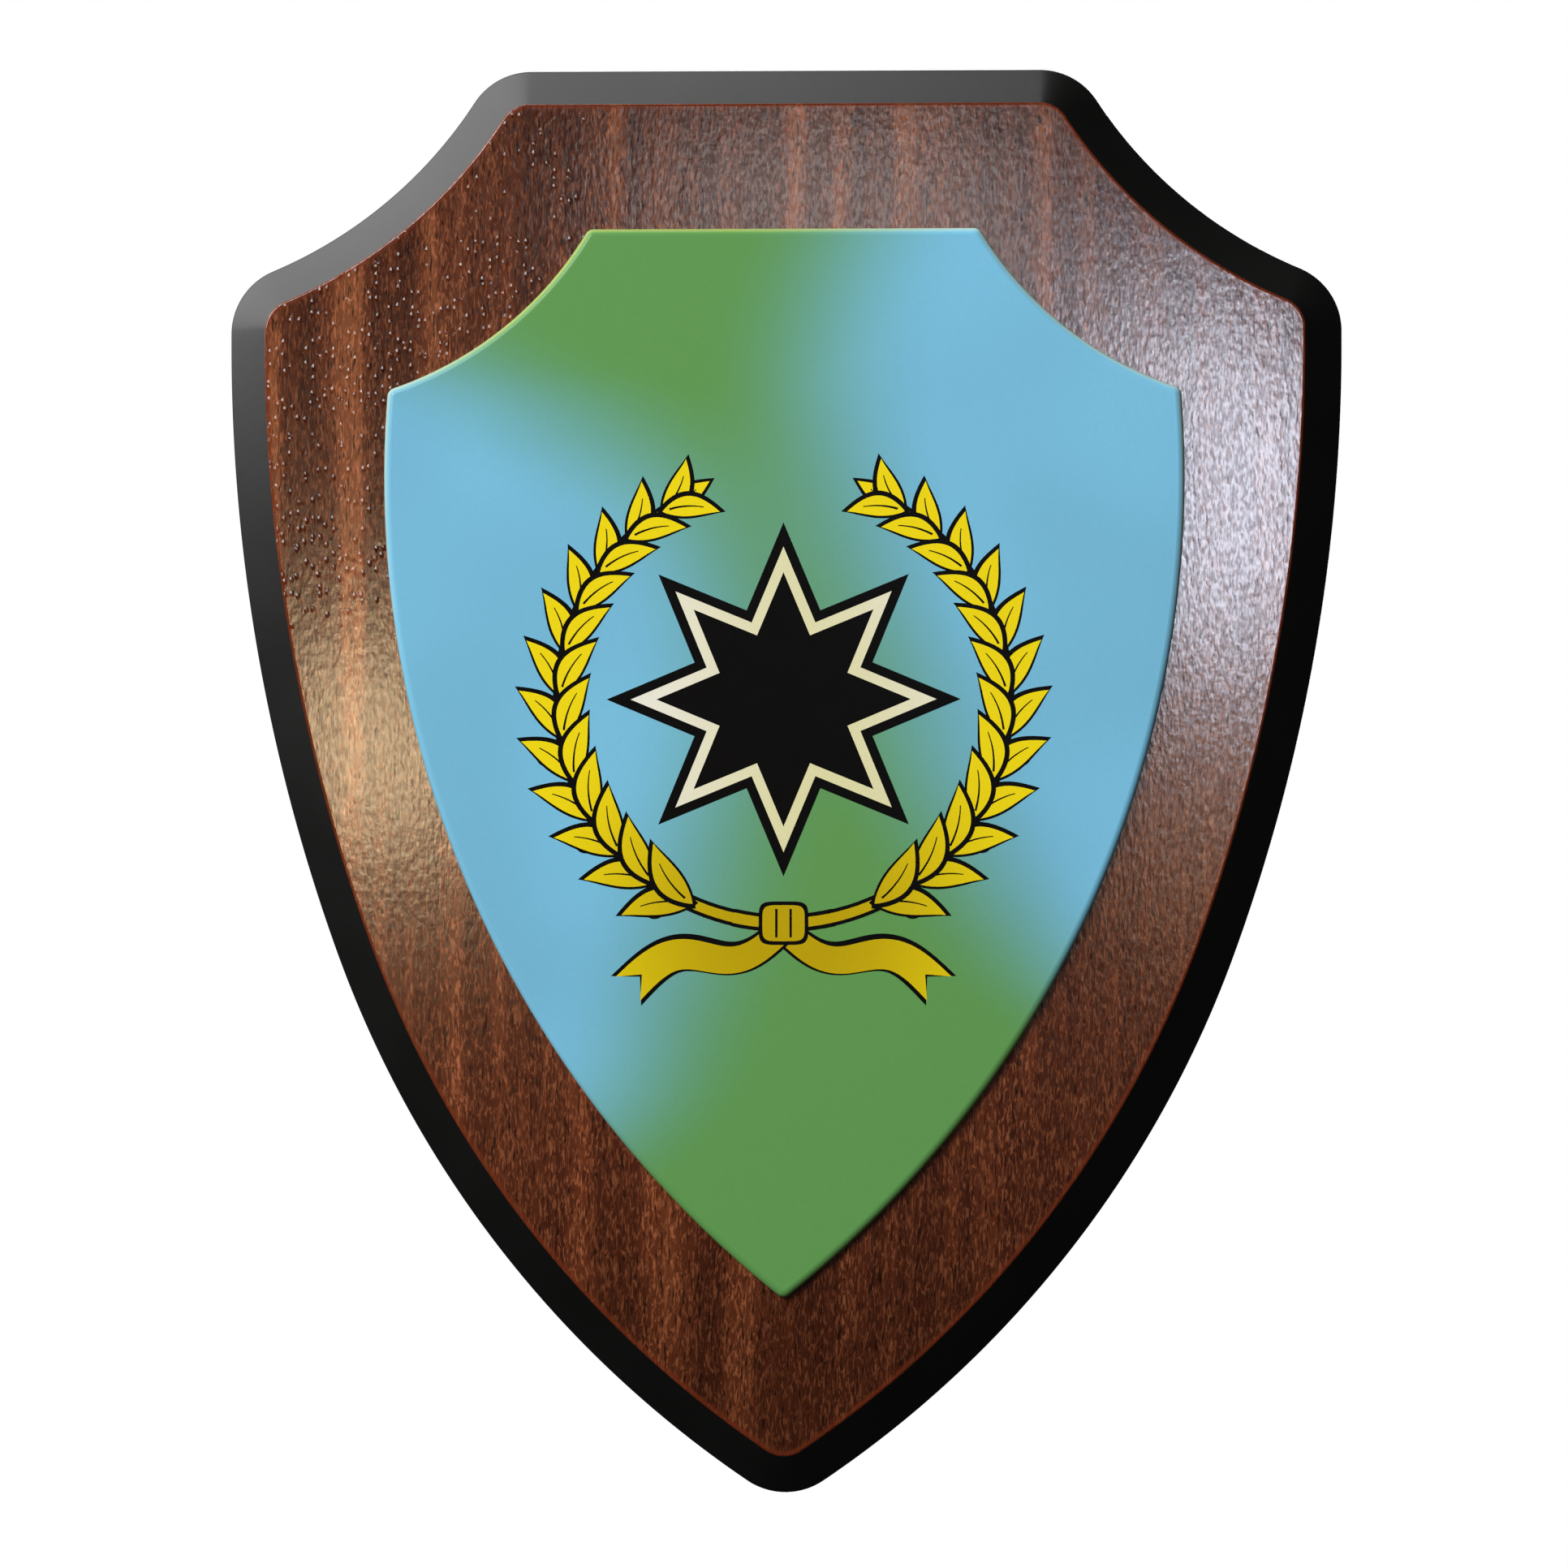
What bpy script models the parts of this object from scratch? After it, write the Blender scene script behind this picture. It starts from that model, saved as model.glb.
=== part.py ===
# A shield-shaped wall plaque, 180 mm wide and 230 mm tall: a wooden board with a bevelled edge and a
# keyhole slot in its back to hang it by, and a thin printed metal plate glued to its face.
# Metres, +Z up. The face looks along -Y and the back lies in the plane Y = 0.
# The origin is where the hanging screw's shank sits, at the upper end of the keyhole slot.

import math
from collections import namedtuple

import bmesh
import bpy
from mathutils import Vector

MM = 0.001

BOARD_THICKNESS = 15 * MM
BOARD_BEVEL = 6.2 * MM  # each leg of the 45-degree bevel round the face
PLATE_THICKNESS = 1.5 * MM
PLATE_BEVEL = 0.8 * MM
PLATE_DROP = 26.4 * MM  # from the board's top edge down to the plate's
GLUE_GAP = 0.3 * MM

HANG_DROP = 40 * MM  # from the board's top edge down to the hanging screw
SHANK_SLOT_WIDTH = 5 * MM  # takes a 4 mm screw
HEAD_CHANNEL_WIDTH = 9 * MM  # takes its 8 mm head
ENTRY_DIAMETER = 10 * MM
SLOT_TRAVEL = 15 * MM  # from the entry hole's centre up to the screw's seat
LIP_THICKNESS = 2.5 * MM  # the wood that the screw's head bears on
CHANNEL_DEPTH = 8 * MM
ENTRY_DEPTH = 8.4 * MM
CUTTER_OVERLAP = 1 * MM

CHORD_ERROR = 0.01 * MM  # how far an arc's straight steps may lie inside it
WELD_DISTANCE = 0.001 * MM
HOLE_SIDES = 32
CREASE_ANGLE = math.radians(30)
UP, RIGHT, DOWN, LEFT = -math.pi / 2, 0.0, math.pi / 2, math.pi  # in an outline, y counts downwards

# A shield outline is drawn in (x, drop), with the drop counted down from its top edge. Its right half
# runs along a straight top, a hollow shoulder, a long side arc, and a tighter arc to the point.
# top_width and shoulder_drop place the sharp corners, before corner, their rounding radius.
Shield = namedtuple(
    "Shield",
    "width height top_width shoulder_drop shoulder_radius widest_drop side_radius lower_turn corner",
)
BOARD = Shield(
    width=180 * MM,
    height=230 * MM,
    top_width=95 * MM,
    shoulder_drop=34.8 * MM,
    shoulder_radius=72.6 * MM,
    widest_drop=44 * MM,
    side_radius=290 * MM,
    lower_turn=math.radians(20),
    corner=11 * MM,
)
PLATE = Shield(
    width=129 * MM,
    height=172 * MM,
    top_width=63 * MM,
    shoulder_drop=26.1 * MM,
    shoulder_radius=58.4 * MM,
    widest_drop=39.9 * MM,
    side_radius=168 * MM,
    lower_turn=math.radians(20),
    corner=1.5 * MM,
)


def clear_scene():
    for obj in list(bpy.data.objects):
        bpy.data.objects.remove(obj)


def new_collection(name):
    collection = bpy.data.collections.new(name)
    bpy.context.scene.collection.children.link(collection)
    return collection


def finish(name, colour, roughness, metallic):
    material = bpy.data.materials.new(name)
    material.use_nodes = True
    shader = material.node_tree.nodes["Principled BSDF"]
    shader.inputs["Base Color"].default_value = (*colour, 1)
    shader.inputs["Roughness"].default_value = roughness
    shader.inputs["Metallic"].default_value = metallic
    return material


def arc(centre, radius, start, end):
    """Points on an arc, in steps that keep to CHORD_ERROR."""
    widest_step = 2 * math.acos(1 - CHORD_ERROR / radius)
    steps = max(1, math.ceil(abs(end - start) / widest_step))
    angles = [start + (end - start) * i / steps for i in range(steps + 1)]
    return [centre + radius * Vector((math.cos(a), math.sin(a))) for a in angles]


def heading(start, end):
    way = end - start
    return math.atan2(way.y, way.x)


def shoulder_centre(shield):
    """The centre of the hollow arc through the top corner and the side corner."""
    top = Vector((shield.top_width / 2, 0))
    side = Vector((shield.width / 2, shield.shoulder_drop))
    chord = side - top
    outward = Vector((chord.y, -chord.x)).normalized()
    return (top + side) / 2 + outward * math.sqrt(shield.shoulder_radius**2 - (chord / 2).length_squared)


def where_circles_meet(first, first_radius, second, second_radius):
    """The lower of the two points that lie on both circles."""
    apart = second - first
    along = (apart.length_squared + first_radius**2 - second_radius**2) / (2 * apart.length)
    aside = math.sqrt(first_radius**2 - along**2)
    way = apart.normalized()
    across = Vector((-way.y, way.x))
    meets = [first + way * along + across * side for side in (aside, -aside)]
    return max(meets, key=lambda point: point.y)


def shield_outline(shield):
    """The closed outline, clockwise from the top right corner as seen from the face."""
    corner = shield.corner
    hollow = shoulder_centre(shield)
    hollow_reach = shield.shoulder_radius + corner
    top_corner = Vector((hollow.x - math.sqrt(hollow_reach**2 - (corner - hollow.y) ** 2), corner))
    side_centre = Vector((shield.width / 2 - shield.side_radius, shield.widest_drop))
    side_corner = where_circles_meet(side_centre, shield.side_radius - corner, hollow, hollow_reach)

    # The lower arc leaves the side arc at lower_turn and touches the rounding of the point. Its centre
    # is on the line from the side arc's centre through the place where they meet.
    point = Vector((0, shield.height - corner))
    turn = Vector((math.cos(shield.lower_turn), math.sin(shield.lower_turn)))
    meeting = side_centre + turn * shield.side_radius
    from_point = meeting - point
    lower_radius = (from_point.length_squared - corner**2) / (2 * (from_point.dot(turn) - corner))
    lower_centre = meeting - turn * lower_radius

    hollow_start, hollow_end = heading(hollow, top_corner), heading(hollow, side_corner)
    side_start, lower_end = heading(side_centre, side_corner), heading(lower_centre, point)
    right = arc(top_corner, corner, UP, hollow_start - math.pi)
    right += arc(hollow, shield.shoulder_radius, hollow_start, hollow_end)
    right += arc(side_corner, corner, hollow_end - math.pi, side_start)
    right += arc(side_centre, shield.side_radius, side_start, shield.lower_turn)
    right += arc(lower_centre, lower_radius, shield.lower_turn, lower_end)
    right += arc(point, corner, lower_end, DOWN)

    right = without_repeats(right)
    right[-1].x = 0.0  # the point of the shield is on its centre line
    left = [Vector((-p.x, p.y)) for p in reversed(right[:-1])]
    return right + left


def without_repeats(points):
    kept = [points[0]]
    for point in points[1:]:
        if (point - kept[-1]).length > CHORD_ERROR:
            kept.append(point)
    return kept


def slot_outline(width, low, high):
    """An upright slot with round ends, in (x, z). low and high are the heights of its ends' centres."""
    steps = HOLE_SIDES // 2
    points = []
    for height, start in ((high, RIGHT), (low, LEFT)):
        for i in range(steps + 1):
            angle = start + math.pi * i / steps
            points.append(Vector((0, height)) + width / 2 * Vector((math.cos(angle), math.sin(angle))))
    return points


def slab(name, outline, front, back, collection, bevel=0.0):
    """A flat solid with an (x, z) outline, from Y = front to Y = back, bevelled round its front."""
    curve = bpy.data.curves.new(name, "CURVE")
    curve.dimensions = "2D"
    curve.fill_mode = "BOTH"
    curve.extrude = (back - front) / 2
    spline = curve.splines.new("POLY")
    spline.points.add(len(outline) - 1)
    for point, (x, z) in zip(spline.points, outline):
        point.co = (x, z, 0, 1)
    spline.use_cyclic_u = True
    drawn = bpy.data.objects.new(name + "_outline", curve)
    drawn.rotation_euler.x = math.pi / 2  # turns the curve's own +Z to face along -Y
    drawn.location.y = (front + back) / 2
    collection.objects.link(drawn)
    bpy.context.view_layer.update()

    evaluated = drawn.evaluated_get(bpy.context.evaluated_depsgraph_get())
    mesh = bpy.data.meshes.new_from_object(evaluated)
    mesh.name = name
    solid = bpy.data.objects.new(name, mesh)
    solid.matrix_world = drawn.matrix_world.copy()
    collection.objects.link(solid)
    bpy.data.objects.remove(drawn)

    shape = bmesh.new()
    shape.from_mesh(mesh)
    bmesh.ops.remove_doubles(shape, verts=shape.verts, dist=WELD_DISTANCE)
    for way in (1, -1):
        cap = [face for face in shape.faces if is_cap(face, way)]
        bmesh.ops.dissolve_faces(shape, faces=cap)
    bmesh.ops.recalc_face_normals(shape, faces=shape.faces)
    if bevel:
        front_cap = next(face for face in shape.faces if is_cap(face, 1))
        bmesh.ops.bevel(shape, geom=list(front_cap.edges), offset=bevel, segments=1, affect="EDGES")
    for face in shape.faces:
        face.smooth = not (is_cap(face, 1) or is_cap(face, -1))
    for edge in shape.edges:
        edge.smooth = edge.calc_face_angle() < CREASE_ANGLE
    shape.to_mesh(mesh)
    shape.free()
    return solid


def is_cap(face, way):
    return face.normal.z * way > math.cos(CREASE_ANGLE)


def cut(solid, cutter):
    difference = solid.modifiers.new("cut_" + cutter.name, "BOOLEAN")
    difference.operation = "DIFFERENCE"
    difference.object = cutter
    cutter.hide_render = True
    cutter.display_type = "WIRE"


def below_top(outline, drop):
    """An outline in (x, z), with its top edge that far below the board's."""
    return [Vector((p.x, HANG_DROP - drop - p.y)) for p in outline]


def entry_hole(cutters):
    bpy.ops.mesh.primitive_cylinder_add(
        vertices=HOLE_SIDES,
        radius=ENTRY_DIAMETER / 2,
        depth=ENTRY_DEPTH + CUTTER_OVERLAP,
        location=(0, (CUTTER_OVERLAP - ENTRY_DEPTH) / 2, -SLOT_TRAVEL),
        rotation=(math.pi / 2, 0, 0),
    )
    hole = bpy.context.object
    hole.name = "entry_hole"
    for collection in list(hole.users_collection):
        collection.objects.unlink(hole)
    cutters.objects.link(hole)
    return hole


def make_board(parts, cutters):
    outline = below_top(shield_outline(BOARD), 0)
    board = slab("shield_board", outline, -BOARD_THICKNESS, 0, parts, BOARD_BEVEL)
    board.data.materials.append(finish("varnished_mahogany", (0.11, 0.040, 0.020), 0.35, 0.0))

    shank = slot_outline(SHANK_SLOT_WIDTH, -SLOT_TRAVEL, 0)
    head = slot_outline(HEAD_CHANNEL_WIDTH, -SLOT_TRAVEL, 0)
    cut(board, slab("shank_slot", shank, -LIP_THICKNESS - CUTTER_OVERLAP, CUTTER_OVERLAP, cutters))
    cut(board, slab("head_channel", head, -CHANNEL_DEPTH, -LIP_THICKNESS, cutters))
    cut(board, entry_hole(cutters))


def make_plate(parts):
    outline = below_top(shield_outline(PLATE), PLATE_DROP)
    back = -BOARD_THICKNESS - GLUE_GAP
    plate = slab("printed_plate", outline, back - PLATE_THICKNESS, back, parts, PLATE_BEVEL)
    plate.data.materials.append(finish("printed_aluminium", (0.18, 0.46, 0.62), 0.3, 0.0))


def main():
    clear_scene()
    parts = new_collection("wall_plaque")
    cutters = new_collection("cutters")
    cutters.hide_render = True
    make_board(parts, cutters)
    make_plate(parts)


main()
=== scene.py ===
import math

import bmesh
import bpy
import numpy as np
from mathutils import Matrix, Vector
from mathutils.geometry import delaunay_2d_cdt


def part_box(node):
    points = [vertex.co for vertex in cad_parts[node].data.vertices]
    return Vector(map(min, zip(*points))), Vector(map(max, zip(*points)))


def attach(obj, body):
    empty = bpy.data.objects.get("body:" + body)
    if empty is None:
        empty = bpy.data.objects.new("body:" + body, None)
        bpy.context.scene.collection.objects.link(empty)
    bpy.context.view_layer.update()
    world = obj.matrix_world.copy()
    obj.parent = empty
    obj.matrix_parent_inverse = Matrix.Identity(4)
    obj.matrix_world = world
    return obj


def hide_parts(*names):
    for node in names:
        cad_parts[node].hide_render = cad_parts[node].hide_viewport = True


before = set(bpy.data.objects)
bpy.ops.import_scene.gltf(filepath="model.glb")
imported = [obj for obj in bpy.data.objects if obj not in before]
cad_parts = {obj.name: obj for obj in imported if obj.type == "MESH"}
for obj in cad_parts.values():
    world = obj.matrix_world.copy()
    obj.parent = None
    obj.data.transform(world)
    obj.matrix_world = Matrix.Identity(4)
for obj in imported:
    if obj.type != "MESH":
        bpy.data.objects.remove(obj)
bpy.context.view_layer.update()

# A shield-shaped wall plaque: a mahogany board with a black lacquered bevel, and a printed metal plate.
# The face looks along -Y, and the back lies in the plane Y = 0. Outlines are worked out in millimetres
# as complex numbers, with x along the real axis and the drop from a top edge along the imaginary one.

mm = 0.001
boardLow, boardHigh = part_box("shield_board")
plateLow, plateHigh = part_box("printed_plate")
boardTop, boardFront = boardHigh[2] / mm, boardLow[1] / mm
plateTop, plateFront = plateHigh[2] / mm, plateLow[1] / mm


def linear(colour):
    # sRGB hex to linear: c / 12.92 for a channel under 0.04045, and else ((c + 0.055) / 1.055) to the 2.4.
    channels = [int(colour[i:i + 2], 16) / 255 for i in (1, 3, 5)]
    return (*[c / 12.92 if c <= 0.04045 else ((c + 0.055) / 1.055) ** 2.4 for c in channels], 1.0)


def addNode(tree, kind, inputs=None, **settings):
    # Adds a shader node of that kind, sets its own settings, and gives each named input a value, or a
    # link from a socket or from another node's first output.
    node = tree.nodes.new("ShaderNode" + kind)
    for name, value in settings.items():
        setattr(node, name, value)
    for name, value in (inputs or {}).items():
        if isinstance(value, bpy.types.Node):
            value = value.outputs[0]
        if isinstance(value, bpy.types.NodeSocket):
            tree.links.new(value, node.inputs[name])
        else:
            node.inputs[name].default_value = value
    return node


# Outlines

def arc(centre, radius, start, end, count):
    # Point k is the centre plus the radius at an angle that runs evenly from start to end.
    return centre + radius * np.exp(1j * np.linspace(start, end, count))


def shieldArcs(shield):
    # The right half's arcs as (centre, radius, growth, start, end, count): top corner, hollow shoulder,
    # side corner, side, lower side and point. Growth is the change of the radius for each mm of inset.
    corner = shield["corner"]
    top = complex(shield["topWidth"] / 2, 0)
    side = complex(shield["width"] / 2, shield["shoulderDrop"])
    rise = math.sqrt(shield["shoulderRadius"] ** 2 - abs(side - top) ** 2 / 4)
    hollow = (top + side) / 2 - 1j * rise * (side - top) / abs(side - top)
    reach = shield["shoulderRadius"] + corner
    topCorner = complex(hollow.real - math.sqrt(reach**2 - (corner - hollow.imag) ** 2), corner)

    # The side corner's centre is where two circles meet: one about the side arc's centre, the other
    # about the hollow's. It lies this far along the line between them, and the rest to its lower side.
    sideCentre = complex(shield["width"] / 2 - shield["sideRadius"], shield["widestDrop"])
    apart = hollow - sideCentre
    inner = shield["sideRadius"] - corner
    along = (abs(apart) ** 2 + inner**2 - reach**2) / (2 * abs(apart))
    sideCorner = sideCentre + apart / abs(apart) * complex(along, math.sqrt(inner**2 - along**2))

    # The lower arc's centre is on the line from the side arc's centre through the place where they
    # meet, at the distance that lets it touch the rounding of the point.
    point = complex(0, shield["height"] - corner)
    turn = np.exp(1j * shield["lowerTurn"])
    meeting = sideCentre + turn * shield["sideRadius"]
    toward = ((meeting - point) * np.conj(turn)).real
    lowerRadius = (abs(meeting - point) ** 2 - corner**2) / (2 * (toward - corner))
    lowerCentre = meeting - turn * lowerRadius

    hollowStart, hollowEnd = np.angle(topCorner - hollow), np.angle(sideCorner - hollow)
    sideStart, lowerEnd = np.angle(sideCorner - sideCentre), np.angle(point - lowerCentre)
    cornerSteps, sideSteps = shield["cornerSteps"], shield["sideSteps"]
    return [
        (topCorner, corner, -1, -math.pi / 2, hollowStart - math.pi, cornerSteps),
        (hollow, shield["shoulderRadius"], 1, hollowStart, hollowEnd, sideSteps // 2),
        (sideCorner, corner, -1, hollowEnd - math.pi, sideStart, cornerSteps),
        (sideCentre, shield["sideRadius"], -1, sideStart, shield["lowerTurn"], sideSteps),
        (lowerCentre, lowerRadius, -1, shield["lowerTurn"], lowerEnd, sideSteps),
        (point, corner, -1, lowerEnd, math.pi / 2, cornerSteps),
    ]


def shieldRing(shield, inset):
    # The whole outline moved inwards: every arc keeps its centre and angles, and its radius changes with
    # the inset. The straight top runs to the top corner, and the left half is the right one mirrored.
    parts = [arc(centre, radius + growth * inset, start, end, count)[:-1]
             for centre, radius, growth, start, end, count in shieldArcs(shield)]
    top = np.linspace(1j * inset, parts[0][0], shield["sideSteps"] // 2)[:-1]
    right = np.concatenate([top, *parts])
    point = np.array([1j * (shield["height"] - inset)])
    return np.concatenate([right, point, -np.conj(right[:0:-1])])


def roundedSection(corners, radii, steps):
    # A line of (inset, y) corners with each turn drawn as an arc: it starts r tan(turn / 2) before the
    # corner, and its centre is r to the inner side of that start.
    corners = np.array([complex(*corner) for corner in corners])
    section = [corners[:1]]
    for before, corner, after, radius in zip(corners, corners[1:], corners[2:], radii):
        arrive, leave = (corner - before) / abs(corner - before), (after - corner) / abs(after - corner)
        turn = np.angle(leave / arrive)
        start = corner - arrive * radius * math.tan(abs(turn) / 2)
        spoke = 1j * np.sign(turn) * arrive * radius
        section.append(start + spoke - spoke * np.exp(1j * turn * np.linspace(0, 1, steps)))
    section.append(corners[-1:])
    return np.concatenate(section)


# Meshes

def placed(ring, y, top):
    # (x, drop) to (x, y, z): z is the height of the top edge less the drop.
    return np.stack([ring.real, np.broadcast_to(y, ring.shape), top - ring.imag], axis=-1)


def gridFaces(rows, columns):
    # Quad (i, j) joins points j and j + 1 of ring i to those of ring i + 1, and the rings are closed.
    row, column = np.meshgrid(np.arange(rows - 1), np.arange(columns), indexing="ij")
    after = (column + 1) % columns
    quads = np.stack([row * columns + column, (row + 1) * columns + column,
                      (row + 1) * columns + after, row * columns + after], axis=-1)
    return quads.reshape(-1, 4)


def fanFaces(pole, firstOfRing, columns):
    # Triangle j joins the pole to points j and j + 1 of a ring.
    column = np.arange(columns)
    after = (column + 1) % columns
    return np.stack([np.full(columns, pole), firstOfRing + column, firstOfRing + after], axis=-1)


def makePiece(name, points, faceBlocks, slots, materials, creaseDegrees, attributes=None):
    # Points are in millimetres. Faces are turned outwards and shaded smooth, apart from sharp creases.
    faces = [face for block in faceBlocks for face in block.tolist()]
    mesh = bpy.data.meshes.new(name)
    mesh.from_pydata((np.round(points, 6) * mm).tolist(), [], faces)
    mesh.polygons.foreach_set("material_index", np.concatenate(slots).astype(np.int32))
    for attributeName, values in (attributes or {}).items():
        attribute = mesh.attributes.new(attributeName, "FLOAT", "POINT")
        attribute.data.foreach_set("value", values.astype(np.float32))
    for material in materials:
        mesh.materials.append(material)
    shape = bmesh.new()
    shape.from_mesh(mesh)
    bmesh.ops.remove_doubles(shape, verts=shape.verts, dist=0.0005 * mm)
    bmesh.ops.recalc_face_normals(shape, faces=shape.faces)
    shape.to_mesh(mesh)
    shape.free()
    mesh.shade_smooth()
    mesh.set_sharp_from_angle(angle=math.radians(creaseDegrees))
    piece = bpy.data.objects.new(name, mesh)
    bpy.context.scene.collection.objects.link(piece)
    print(name, len(mesh.polygons), "faces")
    return piece


# Board

board = dict(
    width=179.98, height=229.99, topWidth=95.0, shoulderDrop=34.8, shoulderRadius=72.6, widestDrop=44.0,
    sideRadius=290.0, lowerTurn=math.radians(20), corner=11.0,
    cornerSteps=22, sideSteps=84,
    bevel=6.2,  # each leg of the 45-degree bevel
    faceArris=0.5, sideArris=0.9, backArris=0.6,  # rounding radii of its long edges
    faceInsets=(0.0, 0.15, 0.35, 0.6, 1.0, 1.8, 3.5),  # rings on the face, in from its arris
    faceCentre=85.0, coreRings=(0.35, 0.7),
    lead=0.25, backMargin=8.0,  # the flats at the start and end of the edge's section
    farOff=30.0,  # what fromEdge says of the face's middle, and with a minus sign of the slot
)
keyhole = dict(
    seat=40.0, travel=15.0,  # drops: the screw's seat, and from there down to the entry hole
    slotWidth=5.0, channelWidth=9.0, holeRadius=5.0, undercut=0.15, lip=2.5, depth=8.0, softening=0.25,
)


def keyholeRing(angles, slotWidth, holeRadius):
    # How far a ray at each angle runs from a point inside both shapes before it has left the upright
    # slot with round ends and the entry circle. A ray leaves a circle at -b + sqrt(b b - q q + r r),
    # where q is the way from the circle's centre and b the part of q along the ray.
    seat = complex(0, keyhole["seat"])
    entry = seat + 1j * keyhole["travel"]
    middle = seat + 1j * keyhole["travel"] * 0.711
    rays = np.exp(1j * angles)

    def leaves(centre, radius):
        along = ((middle - centre) * np.conj(rays)).real
        return -along + np.sqrt(np.maximum(along**2 - abs(middle - centre) ** 2 + radius**2, 0.0))

    wall = slotWidth / 2 / np.maximum(abs(rays.real), 1e-9)
    meets = (middle + wall * rays).imag
    slot = np.where(meets < seat.imag, leaves(seat, slotWidth / 2), wall)
    slot = np.where(meets > entry.imag, 0.0, slot)
    return middle, middle + rays * np.maximum(slot, leaves(entry, holeRadius))


def makeBoard(materials):
    # One closed skin of rings: the face from its centre out, the rounded bevel and side, the back in to
    # the keyhole, and the keyhole's lip, channel and floor.
    bevel, lead, back = board["bevel"], board["lead"], 0.0
    section = roundedSection(
        [(bevel + lead, boardFront), (bevel, boardFront), (0, boardFront + bevel), (0, back),
         (board["backMargin"], back)],
        (board["faceArris"], board["sideArris"], board["backArris"]), 7)
    outer = shieldRing(board, section[-1].real)
    slotMiddle = keyholeRing(np.zeros(1), keyhole["slotWidth"], keyhole["holeRadius"])[0]
    angles = np.angle(outer - slotMiddle)

    rings, fromEdge, ringSlots = [], [], []
    centre = complex(0, board["faceCentre"])
    faceEdge = section[0].real
    core = shieldRing(board, faceEdge + board["faceInsets"][-1])
    for share in board["coreRings"]:
        rings.append(placed(centre + share * (core - centre), boardFront, boardTop))
        fromEdge.append(board["farOff"])
        ringSlots.append(0)
    for inset in board["faceInsets"][::-1]:
        rings.append(placed(shieldRing(board, faceEdge + inset), boardFront, boardTop))
        fromEdge.append(inset + lead)
        ringSlots.append(0)
    walked = np.concatenate([[0.0], np.cumsum(abs(np.diff(section)))])
    for step, after, way in zip(section[1:], [*section[2:], section[-1]], walked[1:]):
        rings.append(placed(shieldRing(board, step.real), step.imag, boardTop))
        fromEdge.append(lead - way)
        onBack = step.imag > back - 1e-6
        onArris = after.imag < boardFront + board["faceArris"]
        ringSlots.append(0 if onArris else 2 if onBack else 1)

    soft, lip, deep = keyhole["softening"], back - keyhole["lip"], back - keyhole["depth"]
    width, hole = keyhole["slotWidth"], keyhole["holeRadius"]
    inner = dict(slotWidth=keyhole["channelWidth"], holeRadius=hole + keyhole["undercut"])
    middle, rim = keyholeRing(angles, width + 2 * soft, hole + soft)
    for share in (0.25, 0.5, 0.75):
        rings.append(placed(outer + share * (rim - outer), back, boardTop))
        ringSlots.append(2)
    throat = keyholeRing(angles, width, hole)[1]
    channel = keyholeRing(angles, **inner)[1]
    cut = [(rim, back), (throat, back - soft), (throat, lip), (channel, lip - 0.001), (channel, deep),
           (middle + 0.5 * (channel - middle), deep)]
    for ring, y in cut:
        rings.append(placed(ring, y, boardTop))
        ringSlots.append(3)

    columns = len(outer)
    points = np.concatenate([*rings, placed(np.array([centre, middle]), 0.0, boardTop)])
    frontPole, floorPole = len(points) - 2, len(points) - 1
    points[frontPole, 1], points[floorPole, 1] = boardFront, deep
    faces = [gridFaces(len(rings), columns), fanFaces(frontPole, 0, columns),
             fanFaces(floorPole, (len(rings) - 1) * columns, columns)]
    slots = [np.repeat(ringSlots[:-1], columns), np.zeros(columns), np.full(columns, 3)]
    edge = np.full(len(points), -board["farOff"])
    edge[:len(fromEdge) * columns] = np.repeat(fromEdge, columns)
    edge[frontPole] = board["farOff"]
    return makePiece("shield_board_wood", points, faces, slots, materials, 40, {"fromEdge": edge})


# Plate and its printed design

plate = dict(
    width=129.0, height=172.0, topWidth=63.0, shoulderDrop=26.1, shoulderRadius=58.4, widestDrop=39.9,
    sideRadius=168.0, lowerTurn=math.radians(20), corner=1.5,
    cornerSteps=9, sideSteps=60,
    rim=1.15, arris=0.12,  # the rounding of the front edge, and that of the back's
    clearance=0.02,  # the gap behind the plate
    backMargin=0.9,  # the flat at the end of the rim's section
)
inks = dict(field=0, black=1, cream=2, gold=3, rim=4, metal=5)
design = dict(
    centreDrop=76.0,  # the middle of the star and wreath, below the plate's top edge
    starPoints=8, starOuter=28.5, starInner=15.5, starBorder=1.5, starLine=1.6,
    wreathRadius=36.0, firstLeaf=-66.0, leafSpacing=11.2, leafPairs=12, leafSplay=33.0,
    leafLength=11.6, leafWidth=4.1, leafShrink=0.22, leafBend=0.10,
    border=0.6, rib=0.34,
    stemWidth=1.7, stemTip=0.7, stemFoot=-103.0,
    berryRadius=1.35, berryOut=3.4, berryBelow=0.30,  # out from the stem, and below a pair in spacings
    tailLength=25.0, tailFall=9.5, tailWave=2.4, tailWidth=5.0, tailNotch=3.2,
    tieWidth=6.8, tieHeight=5.8, tieFold=1.15,  # the folds are that far each side of the tie's middle
)


def leafLoop(length, width, bend):
    # Half-width sin(pi s^0.85) along an axis that bends like s (1 - s), up one side and down the other.
    s = np.linspace(0, 1, 22)
    axis = length * (s + 1j * bend * 4 * s * (1 - s))
    half = width / 2 * np.sin(math.pi * s**0.85)
    return np.concatenate([axis + 1j * half, (axis - 1j * half)[-2:0:-1]])


def bandLoop(path, halfWidth, notch=0.0):
    # A band of that half-width each side of a path, with a V cut into its far end.
    along = np.gradient(path)
    along = along / abs(along)
    end = [path[-1] - along[-1] * notch] if notch else []
    return np.concatenate([path + 1j * along * halfWidth, end, (path - 1j * along * halfWidth)[::-1]])


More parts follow.
